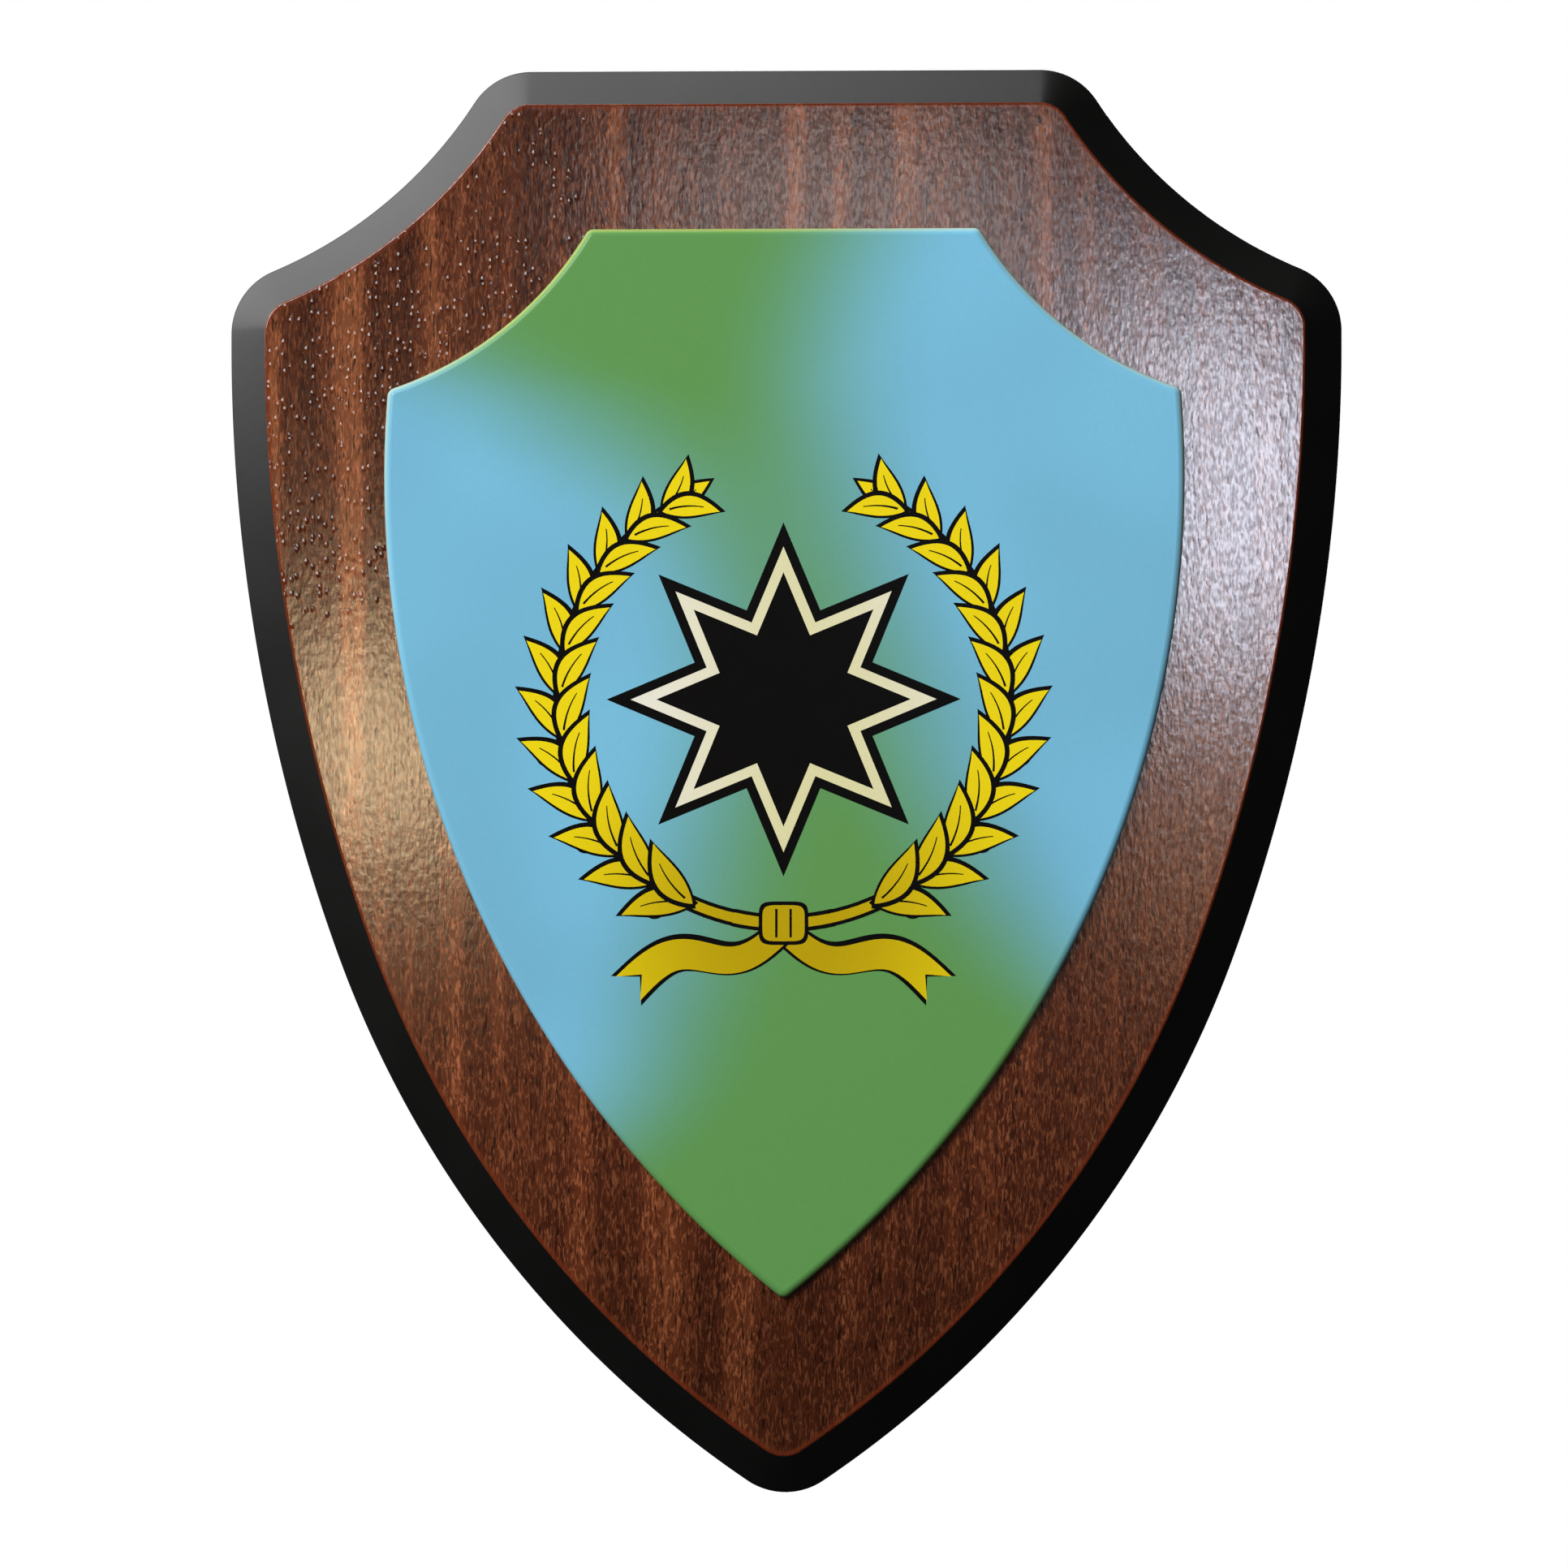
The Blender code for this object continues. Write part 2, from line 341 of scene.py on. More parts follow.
def starLoop(outer, inner, points, inset):
    # Alternate outer and inner corners. All edges are h from the middle, so an inset scales by 1 - i / h.
    step = math.pi / points
    second = inner * np.exp(1j * step)
    h = abs((outer * second).imag) / abs(outer - second)
    k = np.arange(2 * points)
    return np.where(k % 2 == 0, outer, inner) * (1 - inset / h) * np.exp(1j * (math.pi / 2 + step * k))


def leafShapes(foot, way, bend, size):
    # One leaf from its foot on: a black border all round, the gold blade, and a rib that thins along it.
    border, length, width = design["border"], design["leafLength"] * size, design["leafWidth"] * size
    bordered = leafLoop(length + 3.2 * border, width + 2 * border, bend)
    s = np.linspace(0.12, 0.72, 12)
    rib = foot + way * length * (s + 1j * bend * 4 * s * (1 - s))
    return [
        (foot - way * border * 1.6 + way * bordered, "black"),
        (foot + way * leafLoop(length, width, bend), "gold"),
        (bandLoop(rib, design["rib"] / 2 * (1.2 - s)), "black"),
    ]


def branchShapes():
    # The right-hand branch about the wreath's middle: a tapering stem on an arc, then pairs of leaves
    # that splay to both sides of it, from the tip down, so that each pair covers the foot of the next,
    # and a berry outside every second pair.
    border, radius, pairs = design["border"], design["wreathRadius"], design["leafPairs"]
    last = design["firstLeaf"] + design["leafSpacing"] * (pairs - 1)
    stem = radius * np.exp(1j * np.radians(np.linspace(design["stemFoot"], last + 2, 60)))
    half = np.linspace(design["stemWidth"] / 2, design["stemTip"] / 2, 60)
    shapes = [(bandLoop(stem, half + border), "black"), (bandLoop(stem, half), "gold")]
    for pair in range(pairs, -1, -1):
        size = 1 - design["leafShrink"] * pair / pairs
        angle = math.radians(design["firstLeaf"] + design["leafSpacing"] * min(pair, pairs - 1))
        foot, ahead = radius * np.exp(1j * angle), 1j * np.exp(1j * angle)
        for splay in (0.0,) if pair == pairs else (-design["leafSplay"], design["leafSplay"]):
            way = ahead * np.exp(1j * math.radians(splay))
            bend = -math.copysign(design["leafBend"], splay) if splay else 0.0
            shapes += leafShapes(foot, way, bend, size)
        if 0 < pair < pairs and pair % 2:
            below = math.radians(design["leafSpacing"] * design["berryBelow"])
            berry = (radius + design["berryOut"] * size) * np.exp(1j * (angle - below))
            for grown, ink in ((border, "black"), (0.0, "gold")):
                ring = arc(0, design["berryRadius"] * size + grown, 0, 2 * math.pi, 25)[:-1]
                shapes.append((berry + ring, ink))
    return shapes


def tailShapes():
    # The ribbon's right tail, from under the tie: it falls as s^1.1 and waves as sin(2 pi s), widens
    # along its way, and ends in a notch. Its border reaches a little past both ends.
    half, notch = design["tailWidth"] / 2, design["tailNotch"]
    s = np.linspace(0, 1, 40)
    fall = design["tailFall"] * s**1.1 + design["tailWave"] * np.sin(2 * math.pi * s)
    tail = -1j * design["wreathRadius"] - 1j * 1.0 + design["tailLength"] * s - 1j * fall
    bordered = tail - (tail[1] - tail[0]) * 0.5 + (tail[-1] - tail[-2]) * s**12
    widening = 0.75 + 0.35 * s
    return [
        (bandLoop(bordered, (half + design["border"]) * widening, notch), "black"),
        (bandLoop(tail, half * widening, notch), "gold"),
    ]


def tieShapes():
    # The tie where the stems cross, a rounded oblong: x and y are the cosine and sine of t, each with its
    # sign and to the power 0.4. Two black lines stand for its folds.
    foot = -1j * design["wreathRadius"]
    t = np.linspace(0, 2 * math.pi, 49)[:-1]
    cos, sin = np.cos(t), np.sin(t)
    shapes = []
    for grown, ink in ((design["border"], "black"), (0.0, "gold")):
        half, tall = design["tieWidth"] / 2 + grown, design["tieHeight"] / 2 + grown
        tie = np.sign(cos) * half * abs(cos) ** 0.4 + 1j * np.sign(sin) * tall * abs(sin) ** 0.4
        shapes.append((foot + tie, ink))
    for x in (-design["tieFold"], design["tieFold"]):
        shapes.append((foot + x + bandLoop(np.linspace(-2.3j, 2.3j, 8), 0.2), "black"))
    return shapes


def artwork():
    # Painted in order, the later over the earlier. The left branch and tail are mirrored in x.
    tail, branch = tailShapes(), branchShapes()
    shapes = tail + [(-np.conj(loop), ink) for loop, ink in tail]
    shapes += [(-np.conj(loop), ink) for loop, ink in branch] + branch
    shapes += tieShapes()
    border, line = design["starBorder"], design["starLine"]
    for inset, ink in ((0.0, "black"), (border, "cream"), (border + line, "black")):
        star = starLoop(design["starOuter"], design["starInner"], design["starPoints"], inset)
        shapes.append((star, ink))
    return [(np.conj(loop) + 1j * design["centreDrop"], ink) for loop, ink in shapes]


def insideLoop(points, loop):
    # True where a level line from the point crosses the loop an odd number of times.
    a, b = loop, np.roll(loop, -1)
    p = points[:, None]
    spans = (a.imag > p.imag) != (b.imag > p.imag)
    rise = np.where(b.imag == a.imag, 1.0, b.imag - a.imag)
    crossing = a.real + (p.imag - a.imag) / rise * (b.real - a.real)
    return (spans & (p.real < crossing)).sum(axis=1) % 2 == 1


def paintedFace(border, shapes):
    # The flat face cut along every drawn edge, and each triangle's ink: that of the last shape over it.
    loops = [border] + [loop for loop, _ in shapes]
    starts = np.cumsum([0] + [len(loop) for loop in loops])
    corners = [Vector((p.real, p.imag)) for p in np.concatenate(loops)]
    edges = []
    for start, loop in zip(starts, loops):
        edges += [(start + i, start + (i + 1) % len(loop)) for i in range(len(loop))]
    found, _, triangles = delaunay_2d_cdt(corners, edges, [], 0, 1e-5)[:3]
    points = np.array([complex(*p) for p in found])
    triangles = np.array(triangles)
    middles = points[triangles].mean(axis=1)
    ink = np.full(len(triangles), -1)
    for loop, name in [(border, "field")] + shapes:
        ink[insideLoop(middles, loop)] = inks[name]
    return points, triangles[ink >= 0], ink[ink >= 0]


def makePlate(materials):
    # Rings down the rim's rounding and side and in over the back, closed by the painted face.
    back, rim = boardFront - plate["clearance"], plate["rim"]
    section = roundedSection(
        [(rim + 0.1, plateFront), (0, plateFront), (0, back), (plate["backMargin"], back)],
        (rim, plate["arris"]), 12)
    rings = [placed(shieldRing(plate, step.real), step.imag, plateTop) for step in section]
    border = shieldRing(plate, section[0].real)
    columns = len(border)
    facePoints, triangles, ink = paintedFace(border, artwork())
    backMiddle = placed(np.array([complex(0, design["centreDrop"])]), back, plateTop)
    points = np.concatenate([*rings, backMiddle, placed(facePoints, plateFront, plateTop)])
    backPole = len(rings) * columns
    faces = [gridFaces(len(rings), columns), fanFaces(backPole, backPole - columns, columns),
             triangles + backPole + 1]
    onRim = np.array([step.imag < plateFront + rim + 0.01 for step in section[1:]])
    strips = np.where(onRim, inks["rim"], inks["metal"])
    slots = [np.repeat(strips, columns), np.full(columns, inks["metal"]), ink]
    fromEdge = np.concatenate([np.repeat(section.real, columns), np.full(len(facePoints) + 1, rim + 1)])
    return makePiece("printed_plate_face", points, faces, slots, materials, 30, {"fromEdge": fromEdge})


# Materials

def startMaterial(name):
    # A new material with an empty node tree, and the object coordinates that its patterns read.
    material = bpy.data.materials.new(name)
    material.use_nodes = True
    tree = material.node_tree
    tree.nodes.clear()
    return material, tree, addNode(tree, "TexCoord").outputs["Object"]


def finishMaterial(material, tree, **inputs):
    # The shader's inputs are given by their own names, with _ for each space.
    named = {name.replace("_", " "): value for name, value in inputs.items()}
    shader = addNode(tree, "BsdfPrincipled", named)
    addNode(tree, "OutputMaterial", {"Surface": shader})
    return material


def ramp(node, stops):
    # Sets a colour ramp's stops: (position, hex colour) in order.
    band = node.color_ramp
    band.interpolation = "EASE"
    while len(band.elements) < len(stops):
        band.elements.new(1.0)
    for element, (position, colour) in zip(band.elements, stops):
        element.position = position
        element.color = linear(colour)
    return node.outputs["Color"]


def curve(tree, value, stops, low, high):
    # A smooth curve through (position, height) points, with positions in 0..1 and heights from low to high.
    node = addNode(tree, "FloatCurve", {"Value": value})
    points = node.mapping.curves[0].points
    while len(points) < len(stops):
        points.new(0.5, 0.5)
    for point, (position, height) in zip(points, stops):
        point.location = (position, (height - low) / (high - low))
    node.mapping.update()
    return addNode(tree, "MapRange", {"Value": node, "To Min": low, "To Max": high})


def dropShare(tree, coords, top, height):
    # 0 at the top edge of an outline that is so high, and 1 at its point.
    z = addNode(tree, "SeparateXYZ", {0: coords}).outputs["Z"]
    return addNode(tree, "MapRange", {
        "Value": z, "From Min": top * mm, "From Max": (top - height) * mm,
    })


# Sapele mahogany cut on the quarter: upright ribbons some 8 mm apart that look light or dark as the grain
# leans to or from the eye, short wavy flecks 0.3 mm wide and 2 mm long, and open pores as fine dark dashes.
# All lengths here and in the varnish are in metres.
wood = dict(
    # each noise's periods across, through and along the grain, its detail and its distortion
    noises=dict(
        ribbon=((0.0074, 0.0074, 0.24), 2, 0.0),
        ripple=((0.0026, 0.0026, 0.05), 2, 0.2),
        fleck=((0.00044, 0.00044, 0.0018), 2, 1.0),
        pore=((0.00036, 0.00036, 0.0024), 1, 0.4),
        strand=((0.0007, 0.0007, 0.0019), 1, 0.0),
        dash=((0.00042, 0.00042, 0.0011), 1, 0.0),
    ),
    # the values of a noise between which what it draws goes from absent to full
    seen=dict(ribbon=(0.42, 0.66), ripple=(0.3, 0.7), fleck=(0.48, 0.67), pore=(0.60, 0.70)),
    sway=0.0035,  # how far the grain wanders aside
    # (axis, place, place, share): the ribbons show at that share at the first place, fully at the second
    calms=(("X", 0.075, 0.045, 0.4), ("Z", -0.11, -0.05, 0.55)),
    ribbonTone=0.68, rippleTone=0.32,  # their parts of the way from dark to light
    fleckStrength=0.3, fleckInRibbon=0.62, poreStrength=0.85,
    dark="#421B0C", mid="#5F2D17", light="#864B2B", fleckColour="#BC7048", poreColour="#1E0B05",
    # (share of the board's height from its top, painted brightness), and the painted brightness at the left
    # and right: painted light and shade, brightest in a painted glow above the point and at the left
    paintedLightAndShade=((0, 0.66), (0.07, 0.69), (0.28, 0.77), (0.5, 0.93), (0.62, 1.07), (0.71, 1.13), (0.8, 0.96),
           (0.92, 0.69), (1, 0.64)),
    left=1.16, right=0.81,
)
varnish = dict(
    roughness=0.12,
    film=0.00016,  # the relief of a full nib
    peel=0.05, followed=0.065,  # shares of that relief for the dimples and for the grain
    sunk=0.46,  # the gloss lost where the film has sunk in
    # the values of x + z between which the film comes to follow the grain fully, and its share below them
    grainyFrom=-0.13, grainyTo=-0.09, grainyLeast=0.75,
    nibSpacing=0.00115, nibReach=0.35,  # nib cells, and a nib's radius as a share of them
    nibSquash=0.7,  # a nib's width as a share of its length
    nibDull=0.5, nibLeast=0.4,  # the gloss lost on a full nib, and the height of the lowest
    # (share of the board's height from its top, what is added to the odds of a nib)
    nibOdds=((0, -0.68), (0.12, -0.64), (0.2, -0.46), (0.36, -0.45), (0.435, -1.2), (1, -1.2)),
    rubbed="#6E2C14", rubbedShare=0.7,  # where the stain is thin along the arris
)


def woodPattern(tree, coords):
    # Colour and relief of the bare wood, from noises stretched along the grain, with painted light and
    # shade laid over the colour. The ribbons are fainter at the right edge and towards the point.
    wander = addNode(tree, "TexNoise", {"Vector": coords, "Scale": 18.0, "Detail": 1.0})
    about = addNode(tree, "VectorMath", {0: wander.outputs["Color"], 1: (0.5, 0.5, 0.5)},
                    operation="SUBTRACT")
    aside = addNode(tree, "VectorMath", {0: about, 1: (wood["sway"], 0.0, 0.0)}, operation="MULTIPLY")
    bent = addNode(tree, "VectorMath", {0: coords, 1: aside})
    noises, seen = {}, {}
    for name, (periods, detail, distortion) in wood["noises"].items():
        stretched = addNode(tree, "Mapping", {"Vector": bent, "Scale": [1 / p for p in periods]})
        noises[name] = addNode(tree, "TexNoise", {
            "Vector": stretched, "Scale": 1.0, "Detail": detail, "Distortion": distortion,
        })
    for name, (absent, full) in wood["seen"].items():
        seen[name] = addNode(tree, "MapRange", {
            "Value": noises[name], "From Min": absent, "From Max": full,
        }, interpolation_type="SMOOTHSTEP" if name == "ribbon" else "LINEAR")

    ribbon = seen["ribbon"]
    apart = addNode(tree, "SeparateXYZ", {0: coords})
    for axis, faint, full, share in wood["calms"]:
        calm = addNode(tree, "MapRange", {
            "Value": apart.outputs[axis], "From Min": faint, "From Max": full, "To Min": share,
        })
        ribbon = addNode(tree, "Math", {0: ribbon, 1: calm}, operation="MULTIPLY")
    ripple = addNode(tree, "Math", {0: seen["ripple"], 1: wood["rippleTone"]}, operation="MULTIPLY")
    tone = addNode(tree, "Math", {0: ribbon, 1: wood["ribbonTone"], 2: ripple},
                   operation="MULTIPLY_ADD")
    base = ramp(addNode(tree, "ValToRGB", {"Fac": tone}),
                [(0.1, wood["dark"]), (0.5, wood["mid"]), (0.9, wood["light"])])
    strength = addNode(tree, "Math", {
        0: ribbon, 1: wood["fleckInRibbon"], 2: wood["fleckStrength"],
    }, operation="MULTIPLY_ADD")
    flecks = addNode(tree, "Math", {0: seen["fleck"], 1: strength}, operation="MULTIPLY")
    flecked = addNode(tree, "Mix", {"Factor": flecks, 6: base, 7: linear(wood["fleckColour"])},
                      data_type="RGBA").outputs[2]
    pores = addNode(tree, "Math", {0: seen["pore"], 1: wood["poreStrength"]}, operation="MULTIPLY")
    pored = addNode(tree, "Mix", {"Factor": pores, 6: flecked, 7: linear(wood["poreColour"])},
                    data_type="RGBA").outputs[2]

    # Painted light and shade: painted shade towards the board's top and point and a little towards the
    # right, and a painted glow above the point and at the left.
    down = curve(tree, dropShare(tree, coords, boardTop, board["height"]), wood["paintedLightAndShade"], 0, 1.5)
    across = addNode(tree, "MapRange", {
        "Value": apart.outputs["X"], "From Min": -0.08, "From Max": 0.08, "To Min": wood["left"],
        "To Max": wood["right"],
    })
    value = addNode(tree, "Math", {0: down, 1: across}, operation="MULTIPLY")
    colour = addNode(tree, "HueSaturation", {"Color": pored, "Value": value})
    relief = addNode(tree, "Math", {0: seen["fleck"], 1: seen["pore"]}, operation="SUBTRACT")
    return colour, relief, noises


def rubbedArris(tree, coords, colour):
    # The stain is thin along the face's arris, which is redder, with a ragged border about 0.5 mm wide.
    edge = addNode(tree, "Attribute", attribute_name="fromEdge").outputs["Fac"]
    ragged = addNode(tree, "TexNoise", {"Vector": coords, "Scale": 900.0, "Detail": 1.0})
    border = addNode(tree, "Math", {0: ragged, 1: 0.5, 2: edge}, operation="MULTIPLY_ADD")
    rubbed = addNode(tree, "MapRange", {
        "Value": border, "From Min": 1.25, "From Max": 0.45, "To Max": varnish["rubbedShare"],
    }, interpolation_type="SMOOTHSTEP")
    return addNode(tree, "Mix", {"Factor": rubbed, 6: colour, 7: linear(varnish["rubbed"])},
                   data_type="RGBA").outputs[2]


def dustNibs(tree, coords):
    # Cones in some cells of a Voronoi pattern, from 0 at their foot to at most 1. A cell has one where
    # its first random draw, a slow drift and the odds for its place add up to about 0.7, and its second
    # draw sets the height.
    apart = addNode(tree, "SeparateXYZ", {0: coords})
    squashed = addNode(tree, "Math", {0: apart.outputs["Z"], 1: varnish["nibSquash"]},
                       operation="MULTIPLY")
    flat = addNode(tree, "CombineXYZ", {"X": apart.outputs["X"], "Y": squashed})
    cells = addNode(tree, "TexVoronoi", {"Vector": flat, "Scale": 1 / varnish["nibSpacing"]},
                    voronoi_dimensions="2D")
    cone = addNode(tree, "MapRange", {
        "Value": cells.outputs["Distance"], "From Min": varnish["nibReach"], "From Max": 0.0,
    })
    draws = addNode(tree, "SeparateXYZ", {0: cells.outputs["Color"]})
    drift = addNode(tree, "TexNoise", {"Vector": coords, "Scale": 90.0, "Detail": 2.0})
    luck = addNode(tree, "Math", {0: drift, 1: draws.outputs[0]})
    share = dropShare(tree, coords, boardTop, board["height"])
    upward = curve(tree, share, varnish["nibOdds"], -1.5, 0)
    aside = addNode(tree, "MapRange", {
        "Value": apart.outputs["X"], "From Min": -0.03, "From Max": -0.005, "To Max": -1.2,
    })
    place = addNode(tree, "Math", {0: upward, 1: aside})
    odds = addNode(tree, "Math", {0: luck, 1: place})
    present = addNode(tree, "MapRange", {"Value": odds, "From Min": 0.66, "From Max": 0.72})
    tall = addNode(tree, "MapRange", {"Value": draws.outputs[1], "To Min": varnish["nibLeast"]})
    shown = addNode(tree, "Math", {0: present, 1: tall}, operation="MULTIPLY")
    return addNode(tree, "Math", {0: cone, 1: shown}, operation="MULTIPLY")


def varnishedMahogany():
    # Under gloss varnish: the film follows the grain and has sunk into it in dashes 0.5 mm wide, least at
    # the lower left, peels in dimples some 1.1 mm across, and has dust nibs 0.8 mm wide at the upper left
    # that catch the lights as bright specks.
    material, tree, coords = startMaterial("varnished_mahogany")
    colour, relief, noises = woodPattern(tree, coords)
    nibs = dustNibs(tree, coords)
    apart = addNode(tree, "SeparateXYZ", {0: coords})
    slant = addNode(tree, "Math", {0: apart.outputs["X"], 1: apart.outputs["Z"]})
    grainy = addNode(tree, "MapRange", {
        "Value": slant, "From Min": varnish["grainyFrom"], "From Max": varnish["grainyTo"],
        "To Min": varnish["grainyLeast"],
    })

    peel = addNode(tree, "TexNoise", {"Vector": coords, "Scale": 900.0, "Detail": 1.0})
    dimpled = addNode(tree, "Math", {0: peel, 1: varnish["peel"], 2: nibs}, operation="MULTIPLY_ADD")
    followed = addNode(tree, "Math", {0: grainy, 1: varnish["followed"]}, operation="MULTIPLY")
    film = addNode(tree, "Math", {0: noises["strand"], 1: followed, 2: dimpled},
                   operation="MULTIPLY_ADD")

    sunk = addNode(tree, "MapRange", {
        "Value": noises["dash"], "From Min": 0.6, "From Max": 0.4, "To Max": varnish["sunk"],
    })
    lost = addNode(tree, "Math", {0: sunk, 1: grainy}, operation="MULTIPLY")
    duller = addNode(tree, "Math", {0: nibs, 1: varnish["nibDull"], 2: lost}, operation="MULTIPLY_ADD")
    gloss = addNode(tree, "Math", {0: 1.0, 1: duller}, operation="SUBTRACT")
    filmBump = addNode(tree, "Bump", {
        "Height": film, "Strength": 1.0, "Distance": varnish["film"],
    })
    woodBump = addNode(tree, "Bump", {"Height": relief, "Strength": 0.5, "Distance": 0.0001})
    return finishMaterial(
        material, tree, Base_Color=rubbedArris(tree, coords, colour), Roughness=0.6,
        Specular_IOR_Level=0.0, Normal=woodBump, Coat_Weight=gloss,
        Coat_Roughness=varnish["roughness"], Coat_Normal=filmBump)


def blackLacquer():
    # Sprayed black cellulose lacquer: satin, with a faint peel about 1.5 mm across.
    material, tree, coords = startMaterial("black_lacquer")
    peel = addNode(tree, "TexNoise", {"Vector": coords, "Scale": 650.0, "Detail": 2.0})
    drift = addNode(tree, "TexNoise", {"Vector": coords, "Scale": 60.0, "Detail": 3.0})
    roughness = addNode(tree, "MapRange", {"Value": drift, "To Min": 0.34, "To Max": 0.42})
    colour = ramp(addNode(tree, "ValToRGB", {"Fac": drift}), [(0.3, "#080807"), (0.7, "#0C0C0B")])
    bump = addNode(tree, "Bump", {"Height": peel, "Strength": 0.15, "Distance": 0.0001})
    return finishMaterial(material, tree, Base_Color=colour, Roughness=roughness, Normal=bump)


def plainBack():
    # The same wood sealed thinly and left matt, with its pores open.
    material, tree, coords = startMaterial("sealed_back")
    colour, relief, _ = woodPattern(tree, coords)
    bump = addNode(tree, "Bump", {"Height": relief, "Strength": 0.6, "Distance": 0.00012})
    faded = addNode(tree, "HueSaturation", {"Saturation": 0.85, "Value": 1.5, "Color": colour})
    return finishMaterial(material, tree, Base_Color=faded, Roughness=0.62, Normal=bump)


def routedWood():
    # Bare wood inside the slot, fuzzy from the cutter and paler than the stained back.
    material, tree, coords = startMaterial("routed_wood")
    colour, _, _ = woodPattern(tree, coords)
    fuzz = addNode(tree, "TexNoise", {"Vector": coords, "Scale": 2500.0, "Detail": 2.0})
    bump = addNode(tree, "Bump", {"Height": fuzz, "Strength": 0.5, "Distance": 0.0002})
    pale = addNode(tree, "Mix", {"Factor": 0.7, 6: colour, 7: linear("#B98A63")},
                   data_type="RGBA").outputs[2]
    return finishMaterial(material, tree, Base_Color=pale, Roughness=0.85, Normal=bump)


# Colour printed by dye sublimation under a clear satin film: flat, with a grain too fine to see but for a
# slight mottle, drawn here at 0.5 mm.
printed = dict(
    blue="#76BAD8", blueLight="#7CC4E4", green="#629B54",
    cream="#F1EEDF", creamOverGreen="#E4DFA8",
    # the gold's two colours are painted shade and a painted highlight over one yellow ink
    goldPaintedHighlight="#F4DC10", goldPaintedShade="#BFA306", goldNear=6, goldFar=45,  # mm from the wreath's foot
    # the rim's pale yellow is a painted highlight on its outer edge
    black="#010101", blackLight="#030303", paintedRimHighlight="#F0E678",
    # (drop, x) of the green area's left and right limits on the plate, in mm
    leftLimit=((0, -72), (12, -67), (20, -55.5), (28, -38), (34, -29), (40, -21), (47, -14), (60, -8),
               (76, -6), (93, -9), (113, -13), (126, -17), (139, -22), (152, -34), (172, -60)),
    rightLimit=((0, 11), (14, 6), (30, 4.5), (47, 8), (60, 12), (73, 17), (86, 21), (93, 24), (106, 31),
                (119, 41), (135, 56), (172, 66)),
    soft=21.0, softUpperLeft=33.0,  # half the width of the blend across a limit, and at the upper left
)


def fieldColour(tree, coords):
    # Light blue with a soft green area between two wandering limits.
    x = addNode(tree, "SeparateXYZ", {0: coords}).outputs["X"]
    across = addNode(tree, "Math", {0: x, 1: 1 / mm}, operation="MULTIPLY")
    drop = dropShare(tree, coords, plateTop, plate["height"])
    leftSoft = addNode(tree, "MapRange", {
        "Value": drop, "From Min": 0.2, "From Max": 0.33, "To Min": printed["softUpperLeft"],
        "To Max": printed["soft"],
    })
    within = []
    for limit, soft, sign in (("leftLimit", leftSoft, 1), ("rightLimit", printed["soft"], -1)):
        stops = [(down / plate["height"], aside) for down, aside in printed[limit]]
        bound = curve(tree, drop, stops, -80, 80)
        past = addNode(tree, "Math", {0: across, 1: bound}, operation="SUBTRACT")
        ratio = addNode(tree, "Math", {0: past, 1: soft}, operation="DIVIDE")
        within.append(addNode(tree, "MapRange", {
            "Value": ratio, "From Min": -sign, "From Max": sign,
        }, interpolation_type="SMOOTHSTEP"))
    # As dyes blend evenly to the eye, the share in linear light is 1 - (1 - s) ^ 1.5 for a share s.
    seen = addNode(tree, "Math", {0: within[0], 1: within[1]}, operation="MULTIPLY")
    rest = addNode(tree, "Math", {0: 1.0, 1: seen}, operation="SUBTRACT")
    faint = addNode(tree, "Math", {0: rest, 1: 1.5}, operation="POWER")
    green = addNode(tree, "Math", {0: 1.0, 1: faint}, operation="SUBTRACT")
    cloud = addNode(tree, "TexNoise", {"Vector": coords, "Scale": 22.0, "Detail": 1.0})
    blue = ramp(addNode(tree, "ValToRGB", {"Fac": cloud}),
                [(0.35, printed["blue"]), (0.65, printed["blueLight"])])
    colour = addNode(tree, "Mix", {"Factor": green, 6: blue, 7: linear(printed["green"])},
                     data_type="RGBA").outputs[2]
    return colour, green


def fieldInk(tree, coords):
    # The field's colour alone.
    return fieldColour(tree, coords)[0]


def blackInk(tree, coords):
    # Black with a faint unevenness about 3 mm across.
    uneven = addNode(tree, "TexNoise", {"Vector": coords, "Scale": 300.0, "Detail": 2.0})
    return ramp(addNode(tree, "ValToRGB", {"Fac": uneven}),
                [(0.3, printed["black"]), (0.7, printed["blackLight"])])


def creamInk(tree, coords):
    # Cream that turns yellowish where the green lies under it.
    green = fieldColour(tree, coords)[1]
    return addNode(tree, "Mix", {
        "Factor": green, 6: linear(printed["cream"]), 7: linear(printed["creamOverGreen"]),
    }, data_type="RGBA").outputs[2]


def goldInk(tree, coords):
    # Yellow with painted shade towards the foot of the wreath and a painted highlight away from it: the mix
    # runs with the distance from there.
    foot = plateTop - design["centreDrop"] - design["wreathRadius"]
    away = addNode(tree, "VectorMath", {0: coords, 1: (0.0, plateFront * mm, foot * mm)},
                   operation="DISTANCE").outputs["Value"]
    share = addNode(tree, "MapRange", {
        "Value": away, "From Min": printed["goldNear"] * mm, "From Max": printed["goldFar"] * mm,
    }, interpolation_type="SMOOTHSTEP")
    return addNode(tree, "Mix", {
        "Factor": share, 6: linear(printed["goldPaintedShade"]), 7: linear(printed["goldPaintedHighlight"]),
    }, data_type="RGBA").outputs[2]


